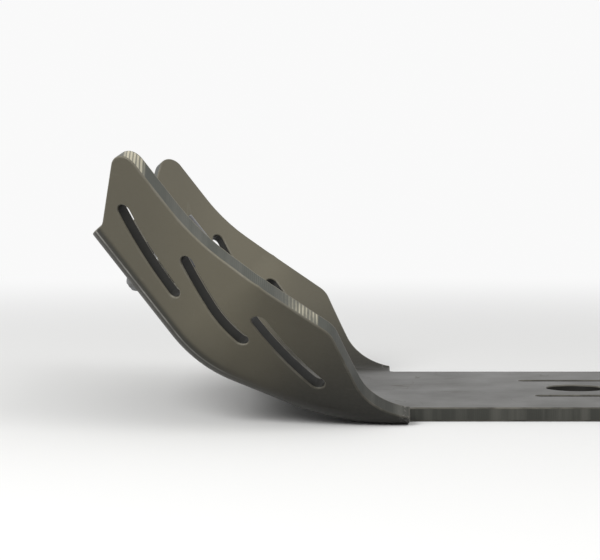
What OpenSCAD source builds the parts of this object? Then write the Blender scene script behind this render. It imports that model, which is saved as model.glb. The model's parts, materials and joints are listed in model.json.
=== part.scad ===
// Motorcycle skid plate: one formed plastic sheet, and the hooks that hold it to the cradle tubes.
// X points to the front of the motorcycle, Y to its left and Z up. The plate rests on its flat
// floor at Z = 0, and the origin is under the middle of its length and width.

/* [Sheet] */
// Thickness of the plastic sheet
sheet_t = 8; // [6:0.5:10]
// Outside radius of the long folds between the floor and the wings
fold_r = 20; // [14:1:26]
// Angle by which the wings flare up from the floor
flare = 46; // [40:1:50]

/* [Profile] */
// Flat floor, from the rear edge to the start of the rear bend
floor_len = 265; // [220:1:320]
// Outside radius of the rear bend
rear_bend_r = 160; // [130:1:220]
// Angle of the rear bend
rear_bend = 22; // [16:1:28]
// Straight length between the two bends
mid_len = 33; // [24:1:50]
// Outside radius of the front bend
front_bend_r = 80; // [76:1:110]
// Angle of the front bend
front_bend = 30; // [22:1:34]
// Straight length of the front panel, above the front bend
front_len = 71; // [66:1:84]

/* [Width] */
// Width of the flat floor behind the wings
floor_w = 200; // [180:1:206]
// Flat width between the two long folds
channel_w = 216; // [212:1:250]
// Radius of the floor's rear corners
floor_corner_r = 22; // [5:1:40]
// Radius in the corner where each wing starts
relief_r = 4; // [1:0.5:5]
// Length of the folds behind the rear bend
toe_len = 7; // [4:1:14]

/* [Wings] */
// Height of the wing beside the front panel, measured up its slope
wing_front_h = 62; // [54:1:66]
// Height of the wing at the middle of the front bend
wing_bend_h = 78; // [72:1:82]
// Height of the wing at its rear corner
wing_rear_h = 65.5; // [56:0.5:72]
// Height left where the wing runs out along the floor
wing_toe_h = 16.5; // [14:0.5:22]
// Distance from the end of the rear bend back to the rear corner of the wing
rear_corner_back = 5.5; // [0:0.5:12]
// Length along the floor that the rear edge of the wing slants over
rear_slant = 36; // [28:1:42]
// Distance from the front bend up to the knee in the upper edge
knee_up = 35; // [30:1:40]
// Radius of the knee in the upper edge
knee_r = 100; // [40:1:105]
// Radius of the rear corner of the wing
rear_corner_r = 15; // [4:1:24]
// Radius of the hollow where the wing runs out along the floor
toe_r = 40; // [15:1:42]

/* [Ears] */
// Slope of the front edge of each ear, from the line of the front panel
ear_slope = 60; // [54:1:66]
// Height up the wing at which the ear leaves the top of the front panel
ear_start_h = 12; // [9:0.5:16]
// Radius of the tip of each ear
ear_tip_r = 9.5; // [5:0.5:11]
// Radius of the hollow between each ear and the front panel
ear_root_r = 8; // [3:0.5:10]

/* [Slots] */
// Width of every slot
slot_w = 8.5; // [6:0.5:11]
// Length of the slots in the wings
slot_len = 58; // [48:0.5:60]
// Radius to which the slots in the wings are bowed
slot_bow_r = 190; // [120:5:400]
// Front slot: distance of its middle above the front bend
front_slot_up = 44; // [40:0.5:46]
// Front slot: height of its middle up the wing
front_slot_h = 27; // [24:0.5:32]
// Front slot: slant to the line of the wing
front_slot_slant = 9; // [4:1:14]
// Middle slot: distance of its middle above the place it is cut from
middle_slot_up = 8; // [4:0.5:10]
// Middle slot: height of its middle up the wing
middle_slot_h = 42; // [38:0.5:45]
// Middle slot: slant to the line of the wing
middle_slot_slant = 14; // [10:1:18]
// Rear slot: distance of its middle above the end of the rear bend
rear_slot_up = 12; // [8:0.5:15]
// Rear slot: height of its middle up the wing
rear_slot_h = 38; // [35:0.5:42]
// Rear slot: slant to the line of the wing
rear_slot_slant = 34; // [28:1:38]

/* [Floor openings] */
// Diameter of the hole over the oil drain plug
drain_d = 36; // [24:1:42]
// Distance of the drain hole's middle from the rear edge
drain_back = 150; // [130:1:165]
// Length of the drain slots in the floor
floor_slot_len = 60; // [40:1:64]
// Distance between the two rows of drain slots
floor_slot_gap = 84; // [70:1:96]
// Distance of the drain slots' middle from the rear edge
floor_slot_back = 150; // [120:1:165]

/* [Fasteners] */
// Diameter of the screws
screw_d = 8; // [6:0.5:8]
// Length of the shanks under their heads
screw_len = 20; // [20:0.5:24]
// Distance of the screws from the middle of the plate
screw_side = 86; // [80:0.5:87]
// Distance of the front screws above the front bend
front_screw_up = 36; // [28:0.5:44]
// Distance of the rear screws from the rear edge
rear_screw_back = 62; // [45:1:80]
// Diameter of the front screws' round heads
head_d = 14; // [13:0.5:16]
// Height of the front screws' round heads
head_h = 4.4; // [3.5:0.1:5]
// Width of the hexagon sockets in the heads
socket_w = 5; // [4:0.5:6]
// Diameter of the rear screws' countersunk heads
flush_head_d = 16; // [14:0.5:17]
// Outside diameter of the washers
washer_d = 24; // [20:0.5:26]
// Thickness of the washers
washer_t = 1.6; // [1.2:0.1:2.4]
// Depth of the round seats for the front washers
seat_depth = 3.6; // [2:0.1:4.2]
// Width of the nuts across their flats
nut_w = 13; // [11:0.5:14]
// Height of the nuts
nut_h = 8; // [6.5:0.1:8.5]

/* [Hooks] */
// Diameter of the cradle tubes
tube_d = 28; // [24:0.5:32]
// Clearance between the tubes and the plate
tube_gap = 1; // [0.5:0.1:3]
// Distance from the middle of each tube to the screw
tube_offset = 27; // [26:0.5:30]
// Thickness of the hooks
hook_t = 3; // [2:0.1:3.5]
// Length of the hooks along the tubes
hook_len = 28; // [20:1:34]
// Angle that the hooks wrap past the top of the tubes
hook_wrap = 38; // [20:1:60]
// Distance from the screw to the outer edge of the hook
foot_out = 10; // [9:0.5:12]
// Radius of the outer corners of the hooks
foot_corner_r = 5; // [2:0.5:8]

/* [Hidden] */
$fn = 128;
// Clearance between each screw and its nut
thread_gap = 0.06;
// Clearance around the screws in the plate and the hooks
bore_gap = 0.4;
// Clearance around the washers in their seats
washer_gap = 0.3;
// Clearance under the rear heads, which lie that much inside the floor
flush_gap = 0.2;
// Overlap by which cutters reach past a face
past = 1;
// Overlap by which each round corner runs into the straight edges beside it
run_in = 0.005;
// Height that the wings have to spare before they are trimmed
blank_margin = 8;
// Depth of each socket as a share of its screw head's height
round_socket_share = 0.55;
flush_socket_share = 0.6;
// Height of a lock nut's collar as a share of the nut's, and its width as a share of the hexagon's
collar_h_share = 0.2;
collar_w_share = 0.92;
// A length that is larger than any part of the plate
far = 600;
// Flat steps in each long fold and each bend
fold_steps = 10;
rear_steps = 11;
front_steps = 15;

// Depth outside the wing's outer face at which its cutters start, and their height
cut_start = 2 * sheet_t;
cut_h = 6 * sheet_t;

half_channel = channel_w / 2;
front_angle = rear_bend + front_bend;
bend_middle = rear_bend + front_bend / 2;

// Direction along the plate and direction into it, where the plate has climbed by angle a
function along(a) = [cos(a), 0, sin(a)];
function inward(a) = [-sin(a), 0, cos(a)];

// Places on the outer face where the bends start and end, from the start of the rear bend
rear_axis = [0, 0, rear_bend_r];
rear_bend_end = rear_axis - rear_bend_r * inward(rear_bend);
front_bend_start = rear_bend_end + mid_len * along(rear_bend);
front_axis = front_bend_start + front_bend_r * inward(rear_bend);
front_bend_end = front_axis - front_bend_r * inward(front_angle);
panel_top = front_bend_end + front_len * along(front_angle);
middle_shift = (floor_len - panel_top[0]) / 2;

// Distance from the end of the flat width to the line where wing and floor would meet unrounded
fold_run = fold_r * tan(flare / 2);
ear_rise = (wing_front_h - ear_start_h) / tan(ear_slope);
// Height of the wings above the folds before they are trimmed
blank_h = max(wing_front_h, wing_bend_h, wing_rear_h) - fold_run + blank_margin;

// Corner of the upper edge at the middle of the front bend, seen square to the front wing
bend_reach = front_bend_r - wing_bend_h * sin(flare);
bend_side = bend_reach * sin(front_bend / 2);
bend_h = wing_bend_h * pow(cos(flare), 2)
    + (front_bend_r - bend_reach * cos(front_bend / 2)) * sin(flare);

hole_d = screw_d + 2 * bore_gap;
seat_d = washer_d + 2 * washer_gap;
tube_h = tube_d / 2 + tube_gap;
hook_r = tube_d / 2 + hook_t;
hook_bend_r = hook_t / 2;

// Places its children on the plate's outer face: X along the plate, Z into it
module on_plate(place, angle) {
    translate(place) rotate([0, -angle, 0]) children();
}

// Places its children on the left wing: Y up the wing from the unrounded fold, Z into it
module on_wing(place, angle) {
    on_plate(place, angle) translate([0, half_channel + fold_run, 0]) rotate([flare, 0, 0]) children();
}

module both_sides() {
    for (side = [0, 1]) mirror([0, side, 0]) children();
}

// Fills or cuts the corner at p, between the edges to a and b, round to radius r
module corner(a, p, b, r) {
    to_a = (a - p) / norm(a - p);
    to_b = (b - p) / norm(b - p);
    half = acos(to_a * to_b) / 2;
    middle = p + (to_a + to_b) / norm(to_a + to_b) * r / sin(half);
    start = p + to_a * r / tan(half);
    end = p + to_b * r / tan(half);
    difference() {
        polygon([middle, for (q = [start, p, end]) middle + (q - middle) * (1 + past / r)]);
        translate(middle) circle(r + run_in);
    }
}

// Half of the section, up the left side: the outer face when deep is 0, the inner when it is sheet_t
function half_section(deep) = concat(
    [[half_channel, deep]],
    [for (step = [1 : fold_steps]) let (turn = flare * step / fold_steps)
        [half_channel + (fold_r - deep) * sin(turn), fold_r - (fold_r - deep) * cos(turn)]],
    [[half_channel + fold_r * sin(flare) + blank_h * cos(flare) - deep * sin(flare),
        fold_r * (1 - cos(flare)) + blank_h * sin(flare) + deep * cos(flare)]]);

function mirrored(points) = [for (p = points) [-p[0], p[1]]];
function reversed(points) = [for (i = [len(points) - 1 : -1 : 0]) points[i]];

// Closed section of the channel: outer face from right to left, then inner face back again
section = let (outer = half_section(0), inner = half_section(sheet_t))
    concat(reversed(mirrored(outer)), outer, reversed(inner), mirrored(inner));

// Places and angles of climb at which the section stands along the plate
stations = concat(
    [[[-toe_len, 0, 0], 0]],
    [for (step = [0 : rear_steps]) let (a = rear_bend * step / rear_steps)
        [rear_axis - rear_bend_r * inward(a), a]],
    [for (step = [0 : front_steps]) let (a = rear_bend + front_bend * step / front_steps)
        [front_axis - front_bend_r * inward(a), a]],
    [[panel_top + ear_rise * along(front_angle), front_angle]]);

// The formed channel before it is trimmed: its section carried along the plate
module formed_channel() {
    ring = len(section);
    half_ring = ring / 2;
    last = (len(stations) - 1) * ring;
    points = [for (at = stations, p = section) at[0] + [0, p[0], 0] + p[1] * inward(at[1])];
    sides = [for (i = [0 : len(stations) - 2], j = [0 : ring - 1]) let (k = (j + 1) % ring)
        [i * ring + j, (i + 1) * ring + j, (i + 1) * ring + k, i * ring + k]];
    ends = [for (j = [0 : half_ring - 2]) [j, j + 1, ring - 2 - j, ring - 1 - j]];
    polyhedron(points, concat(sides, ends, [for (f = ends) [for (i = reversed(f)) last + i]]));
}

// Outline of the front half of the wing, square to the wing, from the top of the front panel
module front_outline() {
    root = [0, ear_start_h];
    tip = [ear_rise, wing_front_h];
    knee = [knee_up - front_len, wing_front_h];
    bend_corner = [-front_len - bend_side, bend_h];
    below = bend_corner + 2 * (bend_corner - knee);
    difference() {
        polygon([[below[0], -far], [0, -far], root, tip, knee, bend_corner, below]);
        corner(root, tip, knee, ear_tip_r);
    }
    corner([0, 0], root, tip, ear_root_r);
    corner(tip, knee, bend_corner, knee_r);
}

// Outline of the rear half of the wing, square to the wing between the bends
module rear_outline() {
    bend_corner = [mid_len + bend_side, bend_h];
    rear_corner = [-rear_corner_back, wing_rear_h];
    toe = [-rear_corner_back - rear_slant, wing_toe_h];
    above = bend_corner + 2 * (bend_corner - rear_corner);
    difference() {
        polygon([[-far, -far], [above[0], -far], above, bend_corner, rear_corner, toe,
            [-far, wing_toe_h]]);
        corner(bend_corner, rear_corner, toe, rear_corner_r);
    }
    corner(rear_corner, toe, toe - [1, 0], toe_r);
}

// Stretches a section along X, with its width along Y
module straight(length) {
    rotate([90, 0, 90]) linear_extrude(length) children();
}

// Everything outside an outline, deep enough to cut the wing and half of the front panel
module outside() {
    translate([0, 0, -cut_start]) linear_extrude(far / 2) difference() {
        translate([-far / 2, -far / 2]) square(far);
        children();
    }
}

// The left half of the space in front of the front bend's radial plane at an angle, or behind it
module beyond(angle, front) {
    on_plate(front_axis, angle) mirror([front ? 0 : 1, 0, 0])
        translate([0, 0, -far / 2]) cube(far);
}

// Trims the left wing square to its front and its rear part, which both reach past the bend's middle
module left_trim() {
    intersection() {
        on_wing(panel_top, front_angle) outside() front_outline();
        beyond(bend_middle - front_bend / 4, true);
    }
    intersection() {
        on_wing(rear_bend_end, rear_bend) outside() rear_outline();
        beyond(bend_middle + front_bend / 4, false);
    }
}

// A bowed slot with round ends, along X with its middle at the origin
module bowed_slot() {
    reach = slot_len / 2 - slot_w / 2;
    half_turn = asin(reach / slot_bow_r);
    translate([0, slot_bow_r]) {
        rotate(-90 - half_turn) rotate_extrude(angle = 2 * half_turn)
            translate([slot_bow_r - slot_w / 2, 0]) square([slot_w, cut_h]);
        for (end = [-1, 1]) rotate(end * half_turn)
            translate([0, -slot_bow_r]) cylinder(h = cut_h, d = slot_w);
    }
}

module wing_slot(up, height, slant) {
    translate([up, height, -cut_start]) rotate(slant) bowed_slot();
}

module wing_slots() {
    on_wing(front_bend_end, front_angle) wing_slot(front_slot_up, front_slot_h, front_slot_slant);
    on_wing(front_axis - front_bend_r * inward(front_angle - front_bend / 4),
        front_angle - front_bend / 4) wing_slot(middle_slot_up, middle_slot_h, middle_slot_slant);
    on_wing(rear_bend_end, rear_bend) wing_slot(rear_slot_up, rear_slot_h, rear_slot_slant);
}

// The flat floor behind the wings
module rear_floor() {
    rear = -floor_len;
    side = floor_w / 2;
    linear_extrude(sheet_t) {
        difference() {
            translate([rear, -side]) square([floor_len - toe_len, floor_w]);
            for (y = [-1, 1]) corner([0, y * side], [rear, y * side], [rear, 0], floor_corner_r);
        }
        for (y = [-1, 1])
            corner([rear, y * side], [-toe_len, y * side], [-toe_len, y * far], relief_r);
    }
}

// A straight slot with round ends, along X through the floor
module floor_slot() {
    reach = floor_slot_len / 2 - slot_w / 2;
    translate([-reach, -slot_w / 2, -past]) cube([2 * reach, slot_w, sheet_t + 2 * past]);
    for (end = [-1, 1]) translate([end * reach, 0, -past]) cylinder(h = sheet_t + 2 * past, d = slot_w);
}

module floor_openings() {
    translate([drain_back - floor_len, 0, -past]) cylinder(h = sheet_t + 2 * past, d = drain_d);
    both_sides() translate([floor_slot_back - floor_len, floor_slot_gap / 2, 0]) floor_slot();
}

// Places its children at the front or rear screw on the left, at the outer face
module at_screw(front) {
    if (front)
        on_plate(front_bend_end, front_angle) translate([front_screw_up, screw_side, 0]) children();
    else translate([rear_screw_back - floor_len, screw_side, 0]) children();
}

// Hole and round seat for a front screw
module seated_hole() {
    translate([0, 0, -past]) {
        cylinder(h = sheet_t + 2 * past, d = hole_d);
        cylinder(h = seat_depth + past, d = seat_d);
    }
}

// Hole and countersink for a rear screw, which lies just inside the floor
module flush_hole() {
    translate([0, 0, -past]) cylinder(h = sheet_t + 2 * past, d = hole_d);
    cone_h = (flush_head_d - screw_d) / 2 + flush_gap;
    cylinder(h = cone_h, d1 = screw_d + 2 * cone_h + flush_gap, d2 = screw_d + flush_gap);
}

module plate() {
    color([0.12, 0.115, 0.1]) translate([middle_shift, 0, 0]) difference() {
        union() {
            difference() {
                formed_channel();
                both_sides() left_trim();
            }
            rear_floor();
        }
        both_sides() {
            wing_slots();
            at_screw(true) seated_hole();
            at_screw(false) flush_hole();
        }
        floor_openings();
    }
}

module socket(depth) {
    translate([0, 0, -past]) cylinder(h = depth + past, d = socket_w / cos(30), $fn = 6);
}

// Screw with a low round head, from the washer's outer face inwards
module round_screw() {
    ball_r = (pow(head_d / 2, 2) + pow(head_h, 2)) / (2 * head_h);
    difference() {
        union() {
            intersection() {
                translate([0, 0, ball_r - head_h]) sphere(ball_r);
                translate([0, 0, -head_h]) cylinder(h = head_h, d = head_d);
            }
            cylinder(h = screw_len, d = screw_d);
        }
        translate([0, 0, -head_h]) socket(head_h * round_socket_share);
    }
}

// Screw with a countersunk head, from the floor's outer face inwards
module flush_screw() {
    cone_h = (flush_head_d - screw_d) / 2;
    translate([0, 0, flush_gap]) difference() {
        union() {
            cylinder(h = cone_h, d1 = flush_head_d, d2 = screw_d);
            cylinder(h = screw_len, d = screw_d);
        }
        socket(cone_h * flush_socket_share);
    }
}

module washer() {
    difference() {
        cylinder(h = washer_t, d = washer_d);
        translate([0, 0, -past]) cylinder(h = washer_t + 2 * past, d = hole_d);
    }
}

// Lock nut: a hexagon with a round collar
module nut() {
    collar_h = nut_h * collar_h_share;
    difference() {
        union() {
            cylinder(h = nut_h - collar_h, d = nut_w / cos(30), $fn = 6);
            cylinder(h = nut_h, d = nut_w * collar_w_share);
        }
        translate([0, 0, -past]) cylinder(h = nut_h + 2 * past, d = screw_d + 2 * thread_gap);
    }
}

// Section of a hook: foot flat on the plate, bend, then the strap up beside the tube and over it
module hook_section() {
    top = 90 + hook_wrap;
    end = [cos(top), sin(top)];
    foot_end = tube_offset + foot_out;
    translate([-tube_offset, 0]) difference() {
        union() {
            square([foot_end, hook_t]);
            square([hook_r + hook_bend_r, hook_t + hook_bend_r]);
            square([hook_r, tube_h]);
            translate([0, tube_h]) intersection() {
                circle(hook_r);
                polygon([[0, -hook_t], [far, -hook_t], [far, far], [0, far], far * end, [0, 0]]);
            }
            translate([0, tube_h]) translate((tube_d + hook_t) / 2 * end) circle(d = hook_t);
        }
        translate([0, tube_h]) circle(d = tube_d);
        translate([-past, -past]) square([tube_d / 2 + past, tube_h + past]);
        translate([hook_r + hook_bend_r, hook_t + hook_bend_r]) circle(hook_bend_r);
        corner([tube_d / 2, tube_h], [tube_d / 2, 0], [foot_end, 0], hook_bend_r + hook_t);
    }
}

// Hook, with the screw's axis at its origin and the plate under it
module hook() {
    difference() {
        translate([-hook_len / 2, 0, 0]) straight(hook_len) hook_section();
        translate([0, 0, -past]) {
            cylinder(h = hook_t + 2 * past, d = hole_d);
            linear_extrude(hook_t + 2 * past) for (end = [-1, 1])
                corner([0, foot_out], [end * hook_len / 2, foot_out], [end * hook_len / 2, 0],
                    foot_corner_r);
        }
    }
}

// Moves one fastener of the left side, or its mirror image, to its place
module fastened(front, right, height) {
    translate([middle_shift, 0, 0]) mirror([0, right ? 1 : 0, 0])
        at_screw(front) translate([0, 0, height]) children();
}

module front_screw(right) {
    color("silver") fastened(true, right, seat_depth - washer_t) round_screw();
}

module front_washer(right) {
    color("silver") fastened(true, right, seat_depth - washer_t) washer();
}

module rear_screw(right) {
    color("silver") fastened(false, right, 0) flush_screw();
}

module plate_hook(front, right) {
    color("dimgray") fastened(front, right, sheet_t) hook();
}

module lock_nut(front, right) {
    color("silver") fastened(front, right, sheet_t + hook_t) nut();
}

plate();
front_screw(false);  // front_screw_left
front_screw(true);  // front_screw_right
front_washer(false);  // front_washer_left
front_washer(true);  // front_washer_right
plate_hook(true, false);  // front_hook_left
plate_hook(true, true);  // front_hook_right
lock_nut(true, false);  // front_nut_left
lock_nut(true, true);  // front_nut_right
rear_screw(false);  // rear_screw_left
rear_screw(true);  // rear_screw_right
plate_hook(false, false);  // rear_hook_left
plate_hook(false, true);  // rear_hook_right
lock_nut(false, false);  // rear_nut_left
lock_nut(false, true);  // rear_nut_right
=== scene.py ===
# Motorcycle skid plate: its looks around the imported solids. Metres, +X front, +Y left, +Z up.

import json
import math

import bmesh
import bpy
from mathutils import Matrix, Vector
from mathutils.geometry import intersect_point_line

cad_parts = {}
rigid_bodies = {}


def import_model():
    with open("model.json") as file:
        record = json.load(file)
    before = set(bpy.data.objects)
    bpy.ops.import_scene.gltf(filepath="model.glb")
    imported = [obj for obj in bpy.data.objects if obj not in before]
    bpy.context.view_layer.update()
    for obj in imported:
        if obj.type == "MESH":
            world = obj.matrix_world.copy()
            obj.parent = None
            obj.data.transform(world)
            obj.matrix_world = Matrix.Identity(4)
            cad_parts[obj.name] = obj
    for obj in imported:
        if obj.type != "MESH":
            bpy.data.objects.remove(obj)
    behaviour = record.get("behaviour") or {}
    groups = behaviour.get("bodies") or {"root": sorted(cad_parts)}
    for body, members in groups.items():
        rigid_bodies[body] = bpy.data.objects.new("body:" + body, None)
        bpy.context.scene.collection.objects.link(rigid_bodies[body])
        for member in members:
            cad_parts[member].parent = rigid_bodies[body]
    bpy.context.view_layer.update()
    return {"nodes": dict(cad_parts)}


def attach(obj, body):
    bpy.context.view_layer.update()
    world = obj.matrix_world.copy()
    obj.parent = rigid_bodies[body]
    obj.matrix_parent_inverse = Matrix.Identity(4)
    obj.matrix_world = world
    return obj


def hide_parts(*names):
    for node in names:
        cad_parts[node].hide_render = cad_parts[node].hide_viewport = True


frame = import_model()
nodes = frame["nodes"]
scene = bpy.context.scene

SIDES = {"left": 1, "right": -1}

# The sheet and its two bends
SHEET = 0.008
BEND_START_X = 0.048841
REAR_BEND, REAR_BEND_R = math.radians(22), 0.16
FRONT_BEND, FRONT_BEND_R = math.radians(52), 0.08
MIDDLE_FLAT = 0.033

# Screws, hooks and nuts
HOOK = 0.003
NUT_TOP = SHEET + HOOK + 0.008
SCREW_SIDE = 0.086
FRONT_SCREW_UP, FRONT_TIP = 0.036, 0.022
REAR_SCREW_BACK, REAR_TIP = 0.203, 0.0202
WASHER_SEAT = 0.002
DOME_RISE = 1.6
THREAD_R, THREAD_ROOT_R = 0.004, 0.0034
THREAD_PITCH, THREAD_TURNS = 0.00125, 3
THREAD_BELOW_TIP = 0.00425
TURNED_INSIDE_NUT = 0.002
# Radius of each coil, and the half width, half height and corners of its section
RIDGE_R, RIDGE_SECTION = 0.00355, (0.00045, 0.00052, 4)
RING_R, RING_SECTION = 0.0045, (0.00035, 0.00015, 12)

# Merging, easing and shading of the CAD copies
SAME_CORNER = 0.000005
SAME_RIM_CORNER = 0.00008
FLAT_ANGLE = math.radians(0.4)
EDGE_ANGLE = math.radians(35)
SMOOTH_ANGLE = math.radians(34)
RIM_CLEAR = 0.0014
FAN_SHARE = 0.55
EASED = {"plate": 0.0009, "hook": 0.0004, "nut": 0.0003, "washer": 0.0002, "screw": 0.0002}
EDGE_WEAR_AND_HIGHLIGHT = "edge_wear_and_highlight_mask"

# Where along X each mark on the plate starts, is full, fades and ends
FOLD_CORNER = (0.0375, 0.0395, 0.0455, 0.0495)
REAR_CHATTER = (0.0922, 0.0930, 0.1, 0.1135)
# The painted sheen along the middle of the wings
PAINTED_SHEEN_X = (0.1, 0.135, 0.145, 0.19)
EAR_CHALK = (0.1825, 0.185, 0.1925, 0.1955)
# How far out the painted shade of the front folds fades, and the painted highlight line along
# them
FOLD_SHADE_FADE, PAINTED_HIGHLIGHT_Y = (0.1242, 0.1212), 0.1192

# The photograph's camera: focal length, width and the drop of its aim, in pixels
FOCAL, PHOTO_WIDTH, AIM_DROP = 1850, 600, 94
SENSOR = 36

# The backdrop, and the distances at which the floor starts to turn to it and has turned
WHITE = (0.95, 0.95, 0.95)
FLOOR_SIZE = 12
TURNS_WHITE, TURNED_WHITE = 0.1, 1.6


def inward(angle):
    """Square to a panel that rises at this angle, into the part."""
    return Vector((-math.sin(angle), 0, math.cos(angle)))


def along(angle):
    """Forwards and up a panel that rises at this angle."""
    return Vector((math.cos(angle), 0, math.sin(angle)))


front_bend_end = (Vector((BEND_START_X, 0, REAR_BEND_R)) - REAR_BEND_R * inward(REAR_BEND)
                  + MIDDLE_FLAT * along(REAR_BEND)
                  + FRONT_BEND_R * (inward(REAR_BEND) - inward(FRONT_BEND)))
# For each pair its place on the outer face, its panel's angle and its tip's height over that face
SCREWS = {
    "front": (front_bend_end + FRONT_SCREW_UP * along(FRONT_BEND), FRONT_BEND, FRONT_TIP),
    "rear": (Vector((BEND_START_X - REAR_SCREW_BACK, 0, 0)), 0, REAR_TIP),
}


# Selecting and shaping, as by hand

def deselect():
    bpy.ops.object.select_all(action="DESELECT")


def choose(piece):
    deselect()
    piece.select_set(True)
    bpy.context.view_layer.objects.active = piece


def edit(piece, mode="FACE"):
    """Opens a piece for editing, with nothing selected."""
    choose(piece)
    bpy.ops.object.mode_set(mode="EDIT")
    bpy.ops.mesh.select_mode(type=mode)
    bpy.ops.mesh.select_all(action="DESELECT")
    return bmesh.from_edit_mesh(piece.data)


def close():
    bpy.ops.object.mode_set(mode="OBJECT")


def select(piece, parts):
    """Selects these faces, edges or corners of the piece that is open."""
    for part in parts:
        part.select_set(True)
    bmesh.update_edit_mesh(piece.data)


def merge_corners(distance):
    bpy.ops.mesh.select_all(action="SELECT")
    bpy.ops.mesh.remove_doubles(threshold=distance)


def new_name(piece, name):
    piece.name = name
    piece.data.name = name


def apply_modifier(piece, kind, **settings):
    choose(piece)
    modifier = piece.modifiers.new(kind.title(), kind)
    for name, value in settings.items():
        setattr(modifier, name, value)
    bpy.ops.object.modifier_apply(modifier=modifier.name)


def merged_copy(node, name):
    """A copy of a CAD node whose loose triangles are joined into whole faces."""
    choose(nodes[node])
    bpy.ops.object.duplicate()
    piece = bpy.context.object
    new_name(piece, name)
    bpy.ops.object.parent_clear(type="CLEAR_KEEP_TRANSFORM")
    for key in [key for key in piece.keys() if key.startswith("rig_")]:
        del piece[key]
    piece.data.materials.clear()
    bpy.ops.mesh.customdata_custom_splitnormals_clear()
    edit(piece, "VERT")
    merge_corners(SAME_CORNER)
    bpy.ops.mesh.dissolve_limited(angle_limit=FLAT_ANGLE)
    close()
    mesh = edit(piece, "VERT")
    spare = [vertex for vertex in mesh.verts if len(vertex.link_edges) == 2]
    select(piece, spare)
    if spare:
        bpy.ops.mesh.dissolve_verts()
    close()
    return piece


def is_sharp(edge):
    return len(edge.link_faces) == 2 and edge.calc_face_angle(0) > EDGE_ANGLE


def runs_beside_cut(edge, rim):
    """Whether a smooth edge comes closer to the rim of its faces than an eased edge needs."""
    start, end = (v.co for v in edge.verts)
    on_rim = [any(v in r.verts for r in rim) for v in edge.verts]
    length = (end - start).length
    steps = max(4, int(3 * length / RIM_CLEAR))
    for step in range(steps + 1):
        share = step / steps
        point = start.lerp(end, share)
        need = RIM_CLEAR
        if on_rim[0]:
            need = min(need, FAN_SHARE * share * length)
        if on_rim[1]:
            need = min(need, FAN_SHARE * (1 - share) * length)
        for a, b in ((r.verts[0].co, r.verts[1].co) for r in rim if need > 0):
            place = intersect_point_line(point, a, b)[1]
            if (a.lerp(b, min(1, max(0, place))) - point).length < need - 1e-7:
                return True
    return False


def clear_beside_cuts(piece, turns=2):
    """Dissolves bend lines that run along a cut, so that the cut's edge can be eased."""
    edit(piece, "VERT")
    merge_corners(SAME_RIM_CORNER)
    close()
    for _ in range(turns):
        mesh = edit(piece, "EDGE")
        sharp = {edge for edge in mesh.edges if is_sharp(edge)}
        crowded = []
        for edge in mesh.edges:
            rim = [e for face in edge.link_faces for e in face.edges if e in sharp]
            if edge not in sharp and rim and runs_beside_cut(edge, rim):
                crowded.append(edge)
        select(piece, crowded)
        if crowded:
            bpy.ops.mesh.dissolve_edges(use_verts=False)
        close()


def ease_edges(piece, width, steps=2):
    """Rounds the piece's sharp edges a little, marks them for edge wear (on the plate also a
    painted edge highlight) and shades the rest smooth.
    """
    slots = piece.data.materials
    slots.append(bpy.data.materials.new("eased_edge"))
    mark = len(slots) - 1
    apply_modifier(piece, "BEVEL", width=width, segments=steps, limit_method="ANGLE",
                   angle_limit=EDGE_ANGLE, use_clamp_overlap=False,
                   miter_outer="MITER_ARC", loop_slide=False, material=mark)
    faces = piece.data.polygons
    eased = [face.material_index == mark for face in faces]
    wear_and_highlight = piece.data.attributes.new(EDGE_WEAR_AND_HIGHLIGHT, "FLOAT", "FACE")
    wear_and_highlight.data.foreach_set("value", [float(e) for e in eased])
    for face in faces:
        if eased[face.index]:
            face.material_index = 0
    bpy.data.materials.remove(slots.pop(index=mark))
    choose(piece)
    bpy.ops.object.shade_smooth_by_angle(angle=SMOOTH_ANGLE)
    apply_modifier(piece, "WEIGHTED_NORMAL", keep_sharp=True, weight=80)


# Finishes

def new_finish(name):
    finish = bpy.data.materials.new(name)
    finish.use_nodes = True
    tree = finish.node_tree
    shader = tree.nodes["Principled BSDF"]
    place = tree.nodes.new("ShaderNodeTexCoord").outputs["Object"]
    return finish, tree, shader, place


def fill(tree, socket, value):
    """Links a socket to another, or sets it to a number or a colour."""
    if isinstance(value, bpy.types.NodeSocket):
        tree.links.new(value, socket)
    elif isinstance(value, tuple):
        socket.default_value = (*value, 1)
    else:
        socket.default_value = value


def noise(tree, place, scale, detail=3.0, roughness=0.55, stretch=None):
    if stretch:
        mapping = tree.nodes.new("ShaderNodeMapping")
        mapping.inputs["Scale"].default_value = stretch
        tree.links.new(place, mapping.inputs["Vector"])
        place = mapping.outputs["Vector"]
    node = tree.nodes.new("ShaderNodeTexNoise")
    node.inputs["Scale"].default_value = scale
    node.inputs["Detail"].default_value = detail
    node.inputs["Roughness"].default_value = roughness
    tree.links.new(place, node.inputs["Vector"])
    return node.outputs["Fac"]


def ramp(tree, value, stops):
    """Maps a value through (position, level) stops to a level or a colour."""
    node = tree.nodes.new("ShaderNodeValToRGB")
    points = node.color_ramp.elements
    while len(points) < len(stops):
        points.new(0.5)
    for point, (position, level) in zip(points, stops):
        point.position = position
        color = level if isinstance(level, tuple) else (level, level, level)
        point.color = (*color, 1)
    tree.links.new(value, node.inputs["Fac"])
    return node.outputs["Color"]


def mix(tree, share, first, second):
    """The first colour, turned into the second by this share."""
    node = tree.nodes.new("ShaderNodeMix")
    node.data_type = "RGBA"
    fill(tree, node.inputs["Factor"], share)
    fill(tree, node.inputs["A"], first)
    fill(tree, node.inputs["B"], second)
    return node.outputs["Result"]


def calculate(tree, operation, *values):
    node = tree.nodes.new("ShaderNodeMath")
    node.operation = operation
    for socket, value in zip(node.inputs, values):
        fill(tree, socket, value)
    return node.outputs["Value"]


def product(tree, value, *others):
    for other in others:
        value = calculate(tree, "MULTIPLY", value, other)
    return value


def absolute(tree, value):
    return calculate(tree, "ABSOLUTE", value)


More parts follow.
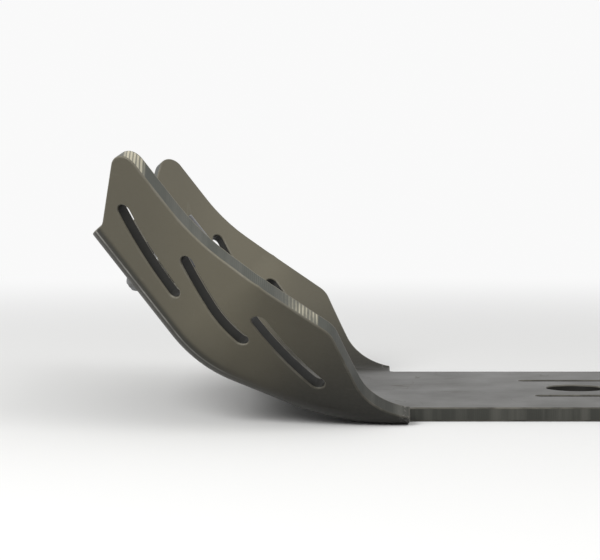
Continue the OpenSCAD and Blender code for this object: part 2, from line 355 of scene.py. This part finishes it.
def bump(tree, height, distance, strength=1.0, under=None):
    node = tree.nodes.new("ShaderNodeBump")
    node.inputs["Strength"].default_value = strength
    node.inputs["Distance"].default_value = distance
    tree.links.new(height, node.inputs["Height"])
    if under:
        tree.links.new(under, node.inputs["Normal"])
    return node.outputs["Normal"]


def edge_wear_and_highlight(tree):
    """1 on the eased edges, 0 elsewhere."""
    node = tree.nodes.new("ShaderNodeAttribute")
    node.attribute_name = EDGE_WEAR_AND_HIGHLIGHT
    return node.outputs["Fac"]


def axes(tree, place):
    """The three coordinates of a place, each by itself."""
    node = tree.nodes.new("ShaderNodeSeparateXYZ")
    tree.links.new(place, node.inputs["Vector"])
    return node.outputs


def rising(tree, value, low, high):
    """0 up to low, rising to 1 at high; low above high falls instead."""
    node = tree.nodes.new("ShaderNodeMapRange")
    node.interpolation_type = "SMOOTHSTEP"
    node.inputs["From Min"].default_value = low
    node.inputs["From Max"].default_value = high
    tree.links.new(value, node.inputs["Value"])
    return node.outputs["Result"]


def between(tree, value, start, full, fading, end):
    """0 up to start, 1 from full to fading, and 0 again from end."""
    return product(tree, rising(tree, value, start, full), rising(tree, value, end, fading))


def hairs(tree, place, scale, stretch, width, gaps):
    """Short scattered scratches: where a stretched noise crosses its middle, with gaps."""
    field = noise(tree, place, scale, 1, 0.4, stretch=stretch)
    off = absolute(tree, calculate(tree, "SUBTRACT", field, 0.5))
    line = rising(tree, off, width, 0.2 * width)
    return product(tree, line, rising(tree, noise(tree, place, gaps, 2), 0.56, 0.7))


def chip_corners(tree, place, color, under):
    """Chips at the rear ends of the folds, where the wing's edge meets the floor's."""
    x, y, z = axes(tree, place)
    patch = product(tree, between(tree, x, *FOLD_CORNER),
                    rising(tree, z, 0.02, 0.012), rising(tree, absolute(tree, y), 0.111, 0.114))
    chips = product(tree, patch, ramp(tree, noise(tree, place, 400, 3, 0.65),
                                      [(0.53, 0.0), (0.63, 1.0)]))
    color = mix(tree, product(tree, chips, 0.5), color, (0.26, 0.25, 0.23))
    return color, bump(tree, chips, 0.0004, 0.8, under=under)


def sheet_finish():
    """Black plastic sheet with a satin skin, faint mottling and hair scratches."""
    finish, tree, shader, place = new_finish("satin_plastic_sheet")
    link = tree.links.new
    x, y, z = axes(tree, place)
    out = absolute(tree, y)
    cloud = noise(tree, place, 9, 4)
    speck = noise(tree, place, 520, 2)

    # Painted light and shade: darker down at the folds and towards the rear, lighter at the upper
    # front
    painted_light_upper_front = product(tree, rising(tree, z, 0.004, 0.06), rising(tree, x, 0.03, 0.135), 0.6)
    painted_light_and_shade = calculate(tree, "ADD", painted_light_upper_front, product(tree, rising(tree, z, 0.0, 0.06), 0.4))
    color = mix(tree, painted_light_and_shade, (0.01, 0.01, 0.008), (0.138, 0.125, 0.088))
    color = mix(tree, product(tree, cloud, 0.3), color, (0.04, 0.037, 0.028))
    color = mix(tree, product(tree, speck, 0.16), color, (0.16, 0.15, 0.125))
    hair = calculate(tree, "MAXIMUM",
                     hairs(tree, place, 60, (0.08, 0.3, 1.0), 0.01, 34),
                     hairs(tree, place, 75, (1.0, 0.3, 0.15), 0.008, 41))
    color = mix(tree, product(tree, hair, 0.16), color, (0.24, 0.23, 0.19))

    # Painted sheen: the wings are palest at their middle
    pale = product(tree, between(tree, x, *PAINTED_SHEEN_X), rising(tree, out, 0.11, 0.13))
    color = mix(tree, product(tree, pale, 0.35), color, (0.21, 0.19, 0.135))

    # Painted shade on the front folds' outer face where it faces down, with a painted highlight
    # line along them
    facing = axes(tree, tree.nodes["Texture Coordinate"].outputs["Normal"])[2]
    front = product(tree, rising(tree, x, 0.12, 0.165), rising(tree, facing, 0.1, -0.1))
    painted_fold_shade = product(tree, front, rising(tree, out, *FOLD_SHADE_FADE))
    color = mix(tree, product(tree, painted_fold_shade, 0.8), color, (0.014, 0.014, 0.011))
    from_line = absolute(tree, calculate(tree, "SUBTRACT", out, PAINTED_HIGHLIGHT_Y))
    rub_marks_and_highlight = product(tree, front, rising(tree, from_line, 0.0009, 0.0003),
                     ramp(tree, noise(tree, place, 45, 3), [(0.35, 0.25), (0.6, 1.0)]))
    color = mix(tree, product(tree, rub_marks_and_highlight, 0.8), color, (0.5, 0.49, 0.45))

    # Patches on the eased edges are lighter: partly edge wear, partly a painted edge highlight
    wear_and_highlight = product(tree, edge_wear_and_highlight(tree),
                   ramp(tree, noise(tree, place, 70, 4), [(0.4, 0.15), (0.65, 0.6)]))
    color = mix(tree, wear_and_highlight, color, (0.19, 0.18, 0.15))
    grain = bump(tree, speck, 0.00006, 0.3)
    color, pits = chip_corners(tree, place, color, grain)
    link(color, shader.inputs["Base Color"])
    shader.inputs["Specular IOR Level"].default_value = 0.28
    gloss = ramp(tree, noise(tree, place, 26, 4), [(0.3, 0.36), (0.7, 0.46)])
    gloss = calculate(tree, "ADD", gloss, product(tree, hair, 0.15))
    link(gloss, shader.inputs["Roughness"])
    link(bump(tree, hair, 0.00005, 0.5, under=pits), shader.inputs["Normal"])
    return finish


def cut_finish():
    """Milled edge of the sheet: grey-green, with tool marks across its thickness."""
    finish, tree, shader, place = new_finish("machined_sheet_edge")
    link = tree.links.new
    x, _, z = axes(tree, place)
    drift = product(tree, noise(tree, place, 60, 2), 3.0)
    coarse = calculate(tree, "SINE", calculate(tree, "ADD", product(tree, x, 3500), drift))
    fine = calculate(tree, "SINE", calculate(tree, "ADD", product(tree, x, 6100),
                                             product(tree, drift, 2)))
    patch = ramp(tree, noise(tree, place, 30, 3), [(0.45, 0.1), (0.65, 1.0)])
    marks = product(tree, rising(tree, fine, -0.2, 1.0), patch, 0.4)
    smear = noise(tree, place, 48, 4)
    color = mix(tree, smear, (0.05, 0.053, 0.045), (0.084, 0.087, 0.074))
    color = mix(tree, marks, color, (0.15, 0.15, 0.13))

    # The edge darkens towards the bottom, with light bars where the cutter paused
    low = rising(tree, z, 0.05, 0.01)
    color = mix(tree, product(tree, low, 0.75), color, (0.018, 0.018, 0.014))
    bars = ramp(tree, noise(tree, place, 110, 3, 0.5, stretch=(1.0, 0.04, 0.04)),
                [(0.46, 0.0), (0.66, 1.0)])
    color = mix(tree, product(tree, bars, 0.35), color, (0.15, 0.146, 0.128))

    # Chatter where the cutter slowed into the rear corners, and chalky ends of the ears
    chatter = calculate(tree, "ADD", 0.3, product(tree, rising(tree, coarse, -0.2, 0.9), 0.7))
    chatter = product(tree, chatter, ramp(tree, noise(tree, place, 130, 3),
                                          [(0.35, 0.35), (0.6, 1.0)]),
                      between(tree, x, *REAR_CHATTER), rising(tree, z, 0.03, 0.04))
    ear = product(tree, between(tree, x, *EAR_CHALK),
                  rising(tree, z, 0.128, 0.134), rising(tree, coarse, -1.6, 0.6))
    chalk = calculate(tree, "MAXIMUM", chatter, ear)
    color = mix(tree, chalk, color, (0.46, 0.43, 0.33))

    grain = bump(tree, noise(tree, place, 700, 2), 0.00004, 0.4)
    color, pits = chip_corners(tree, place, color, grain)
    link(color, shader.inputs["Base Color"])
    shader.inputs["Specular IOR Level"].default_value = 0.35
    link(ramp(tree, smear, [(0.3, 0.4), (0.7, 0.52)]), shader.inputs["Roughness"])
    ridges = calculate(tree, "MAXIMUM", marks, chatter)
    link(bump(tree, ridges, 0.00014, 0.6, under=pits), shader.inputs["Normal"])
    return finish


def shaded_slot_finish():
    """Routed walls of the slots and holes, painted dark as shade inside them, with fine rings
    along them.
    """
    finish, tree, shader, place = new_finish("hole_wall_painted_shade")
    link = tree.links.new
    smear = noise(tree, place, 70, 4, 0.6, stretch=(1.0, 0.3, 1.0))
    rings = noise(tree, place, 160, 3, 0.5, stretch=(0.2, 1.0, 1.0))
    color = mix(tree, smear, (0.01, 0.01, 0.009), (0.028, 0.027, 0.023))
    link(color, shader.inputs["Base Color"])
    shader.inputs["Specular IOR Level"].default_value = 0.2
    link(ramp(tree, rings, [(0.35, 0.34), (0.65, 0.48)]), shader.inputs["Roughness"])
    link(bump(tree, rings, 0.0001, 0.45), shader.inputs["Normal"])
    return finish


def coated_finish():
    """Black powder coat over bent steel, rubbed through a little along its edges."""
    finish, tree, shader, place = new_finish("powder_coated_steel")
    link = tree.links.new
    peel = noise(tree, place, 900, 2)
    color = ramp(tree, noise(tree, place, 60, 4), [(0.3, (0.02, 0.02, 0.021)),
                                                   (0.7, (0.032, 0.032, 0.033))])
    rub_marks_and_highlight = product(tree, edge_wear_and_highlight(tree),
                     ramp(tree, noise(tree, place, 260, 4), [(0.5, 0.0), (0.6, 1.0)]))
    color = mix(tree, rub_marks_and_highlight, color, (0.42, 0.42, 0.43))
    link(color, shader.inputs["Base Color"])
    link(rub_marks_and_highlight, shader.inputs["Metallic"])
    link(ramp(tree, peel, [(0.3, 0.3), (0.7, 0.4)]), shader.inputs["Roughness"])
    link(bump(tree, peel, 0.00006, 0.35), shader.inputs["Normal"])
    return finish


def zinc_finish():
    """Zinc plate on steel fasteners, dulled by use, with darker stains."""
    finish, tree, shader, place = new_finish("dull_zinc_plated_steel")
    link = tree.links.new
    cloud = noise(tree, place, 300, 4)
    color = ramp(tree, cloud, [(0.3, (0.17, 0.173, 0.177)), (0.7, (0.27, 0.273, 0.277))])
    stain = ramp(tree, noise(tree, place, 120, 5, 0.65), [(0.5, 0.0), (0.7, 0.8)])
    color = mix(tree, stain, color, (0.09, 0.083, 0.072))
    color = mix(tree, product(tree, edge_wear_and_highlight(tree), 0.4), color, (0.4, 0.4, 0.4))
    link(color, shader.inputs["Base Color"])
    shader.inputs["Metallic"].default_value = 1.0
    link(ramp(tree, cloud, [(0.3, 0.32), (0.7, 0.46)]), shader.inputs["Roughness"])
    link(bump(tree, noise(tree, place, 1500, 2), 0.00003, 0.3), shader.inputs["Normal"])
    return finish


def nylon_finish():
    """Nylon locking ring of a nut: milky, with a soft sheen."""
    finish, tree, shader, place = new_finish("nylon_ring")
    link = tree.links.new
    cloud = noise(tree, place, 700, 3)
    color = ramp(tree, cloud, [(0.3, (0.5, 0.51, 0.5)), (0.7, (0.62, 0.63, 0.6))])
    link(color, shader.inputs["Base Color"])
    link(ramp(tree, cloud, [(0.3, 0.38), (0.7, 0.5)]), shader.inputs["Roughness"])
    link(bump(tree, cloud, 0.00003, 0.3), shader.inputs["Normal"])
    shader.inputs["Subsurface Weight"].default_value = 0.15
    shader.inputs["Subsurface Scale"].default_value = 0.0006
    return finish


SATIN = sheet_finish()
CUT = cut_finish()
SHADED_SLOT = shaded_slot_finish()
NYLON = nylon_finish()
COATED = coated_finish()
ZINC = zinc_finish()


# The plate: the CAD sheet with eased edges, its cut faces and hole walls in their own finishes

def joined(faces, across):
    """Groups of faces that a walk across the allowed edges joins."""
    left = set(faces)
    groups = []
    while left:
        group, reach = [], [left.pop()]
        while reach:
            group.append(reach.pop())
            for edge in group[-1].edges:
                for face in edge.link_faces:
                    if face in left and across(edge):
                        left.remove(face)
                        reach.append(face)
        groups.append(group)
    return groups


def sort_faces(piece):
    """Gives each face its finish: 0 the sheet's skin, 1 its outer edge, 2 its holes' walls."""
    mesh = bmesh.new()
    mesh.from_mesh(piece.data)
    groups = joined(mesh.faces, lambda edge: not is_sharp(edge))
    groups.sort(key=lambda group: sum(face.calc_area() for face in group))
    cut = [face for group in groups[:-2] for face in group]
    rings = joined(cut, lambda edge: True)
    rim = max(rings, key=len)
    for face in mesh.faces:
        face.material_index = 0
    for ring in rings:
        for face in ring:
            face.material_index = 1 if ring is rim else 2
    mesh.to_mesh(piece.data)
    mesh.free()


def build_plate():
    piece = merged_copy("plate", "formed_plate")
    for finish in (SATIN, CUT, SHADED_SLOT):
        piece.data.materials.append(finish)
    clear_beside_cuts(piece)
    sort_faces(piece)
    ease_edges(piece, EASED["plate"], steps=3)
    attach(piece, "root")
    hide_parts("plate")


# Hooks and fasteners

def finished_copy(node, name, finish, width, shape=None):
    """A CAD node's copy, shaped further where asked, with eased edges, in its finish."""
    piece = merged_copy(node, name)
    piece.data.materials.append(finish)
    if shape:
        shape(piece)
    ease_edges(piece, width)
    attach(piece, "root")
    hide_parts(node)


def turned_end(piece, foot, axis, tip):
    """Narrows a screw's end to the bottom of its thread, from inside the nut to its tip."""
    mesh = edit(piece)
    cap = [f for f in mesh.faces if f.normal.dot(axis) > 0.99
           and (f.calc_center_median() - foot).dot(axis) > tip - 1e-5]
    select(piece, cap)
    reach = (tip - NUT_TOP + TURNED_INSIDE_NUT) * axis
    bpy.ops.transform.translate(value=-reach)
    bpy.ops.mesh.inset(thickness=THREAD_R - THREAD_ROOT_R)
    bpy.ops.mesh.extrude_region_move(TRANSFORM_OT_translate={"value": reach})
    close()


def raised_dome(piece, foot, axis):
    """Makes a round head stand higher above its washer."""
    mesh = edit(piece, "VERT")
    for vertex in mesh.verts:
        height = WASHER_SEAT - (vertex.co - foot).dot(axis)
        if height > 0:
            vertex.co -= axis * height * (DOME_RISE - 1)
    bmesh.update_edit_mesh(piece.data)
    close()


def coil(name, radius, section, pitch=0, turns=1):
    """A closed section carried round the Z axis: a thread's ridge, or a ring with no pitch."""
    deselect()
    wide, high, corners = section
    bpy.ops.mesh.primitive_circle_add(vertices=corners, radius=1, fill_type="NOTHING",
                                      rotation=(math.pi / 2, 0, 0))
    piece = bpy.context.object
    new_name(piece, name)
    bpy.ops.object.transform_apply(location=False, rotation=True, scale=False)
    edit(piece, "VERT")
    bpy.ops.mesh.select_all(action="SELECT")
    bpy.ops.transform.resize(value=(wide, 1, high), center_override=(0, 0, 0))
    bpy.ops.transform.translate(value=(radius, 0, 0))
    close()
    apply_modifier(piece, "SCREW", axis="Z", angle=math.tau, screw_offset=pitch,
                   iterations=turns, steps=40, render_steps=40,
                   use_merge_vertices=pitch == 0, merge_threshold=1e-6)
    edit(piece, "EDGE")
    if pitch:
        bpy.ops.mesh.select_non_manifold()
        bpy.ops.mesh.edge_face_add()
    bpy.ops.mesh.select_all(action="SELECT")
    bpy.ops.mesh.normals_make_consistent(inside=False)
    close()
    bpy.ops.object.shade_smooth_by_angle(angle=SMOOTH_ANGLE)
    return piece


def placed_copy(model, name, place, angle, finish):
    """A copy of a coil, its axis turned to a panel's and its foot at a place."""
    choose(model)
    bpy.ops.object.duplicate()
    piece = bpy.context.object
    new_name(piece, name)
    piece.matrix_world = Matrix.Translation(place) @ Matrix.Rotation(-angle, 4, "Y")
    bpy.ops.object.transform_apply(location=True, rotation=True, scale=True)
    piece.data.materials.append(finish)
    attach(piece, "root")


def build_fasteners(side, thread, lock_ring):
    finished_copy(f"front_washer_{side}", f"front_flat_washer_{side}", ZINC,
                  EASED["washer"])
    for end, (middle, angle, tip) in SCREWS.items():
        foot = middle + Vector((0, SIDES[side] * SCREW_SIDE, 0))
        axis = inward(angle)

        def shape_screw(screw):
            turned_end(screw, foot, axis, tip)
            if end == "front":
                raised_dome(screw, foot, axis)

        finished_copy(f"{end}_hook_{side}", f"{end}_tube_hook_{side}", COATED,
                      EASED["hook"])
        finished_copy(f"{end}_nut_{side}", f"{end}_lock_nut_{side}", ZINC, EASED["nut"])
        finished_copy(f"{end}_screw_{side}", f"{end}_socket_screw_{side}", ZINC,
                      EASED["screw"], shape_screw)
        placed_copy(thread, f"{end}_thread_{side}", foot + (tip - THREAD_BELOW_TIP) * axis,
                    angle, ZINC)
        placed_copy(lock_ring, f"{end}_nylon_ring_{side}", foot + NUT_TOP * axis,
                    angle, NYLON)


build_plate()
ridge = coil("thread_ridge", RIDGE_R, RIDGE_SECTION, THREAD_PITCH, THREAD_TURNS)
ring = coil("nylon_lock_ring", RING_R, RING_SECTION)
for side in SIDES:
    build_fasteners(side, ridge, ring)
for model in (ridge, ring):
    choose(model)
    bpy.ops.object.delete()


# Floor, light and camera

def seen_directly(tree):
    """1 for rays from the camera and for reflections, 0 for light that the floor gives back."""
    rays = tree.nodes.new("ShaderNodeLightPath").outputs
    return calculate(tree, "MAXIMUM", rays["Is Camera Ray"],
                     calculate(tree, "MAXIMUM", rays["Is Glossy Ray"],
                               rays["Is Transmission Ray"]))


def build_stage():
    """A pale floor that turns to plain white with distance, to meet the backdrop unseen."""
    deselect()
    bpy.ops.mesh.primitive_plane_add(size=FLOOR_SIZE, location=(0, 0, 0))
    floor = bpy.context.object
    floor.name = "studio_floor"
    pale, tree, shader, place = new_finish("pale_floor")
    link = tree.links.new
    seen = seen_directly(tree)
    link(mix(tree, seen, (0.22, 0.22, 0.215), (0.86, 0.86, 0.85)), shader.inputs["Base Color"])
    shader.inputs["Roughness"].default_value = 0.8
    shader.inputs["Specular IOR Level"].default_value = 0.1
    reach = tree.nodes.new("ShaderNodeVectorMath")
    reach.operation = "LENGTH"
    link(place, reach.inputs[0])
    far = product(tree, seen, rising(tree, reach.outputs["Value"], TURNS_WHITE, TURNED_WHITE))
    glow = tree.nodes.new("ShaderNodeEmission")
    glow.inputs["Color"].default_value = (*WHITE, 1)
    blend = tree.nodes.new("ShaderNodeMixShader")
    link(far, blend.inputs["Fac"])
    link(shader.outputs["BSDF"], blend.inputs[1])
    link(glow.outputs["Emission"], blend.inputs[2])
    link(blend.outputs["Shader"], tree.nodes["Material Output"].inputs["Surface"])
    floor.data.materials.append(pale)


def soft_light(name, place, aim, size, power):
    deselect()
    bpy.ops.object.light_add(type="AREA", location=place)
    lamp = bpy.context.object
    lamp.name = name
    lamp.data.shape = "DISK"
    lamp.data.size = size
    lamp.data.energy = power
    lamp.rotation_euler = (Vector(aim) - Vector(place)).to_track_quat("-Z", "Y").to_euler()


def build_light():
    world = scene.world or bpy.data.worlds.new("studio")
    scene.world = world
    world.use_nodes = True
    tree = world.node_tree
    backdrop = mix(tree, seen_directly(tree), (0.5, 0.5, 0.5), WHITE)
    tree.links.new(backdrop, tree.nodes["Background"].inputs["Color"])
    soft_light("front_softbox", (1.05, 1.4, 1.2), (0.08, 0, 0.05), 1.1, 30)
    soft_light("rear_softbox", (-1.2, 1.0, 1.6), (0, 0, 0.05), 1.4, 10)


def build_camera():
    """Beside the plate's left, aimed a little down, as in the photograph."""
    deselect()
    bpy.ops.object.camera_add(location=(0.1021, 1.125, 0.1311))
    camera = bpy.context.object
    camera.name = "photo_camera"
    camera.data.sensor_width = SENSOR
    camera.data.lens = FOCAL * SENSOR / PHOTO_WIDTH
    camera.data.clip_start = 0.01
    camera.rotation_euler = (math.pi / 2 - math.atan(AIM_DROP / FOCAL), 0, math.pi)
    scene.camera = camera


build_stage()
build_light()
build_camera()
scene.view_settings.view_transform = "Standard"
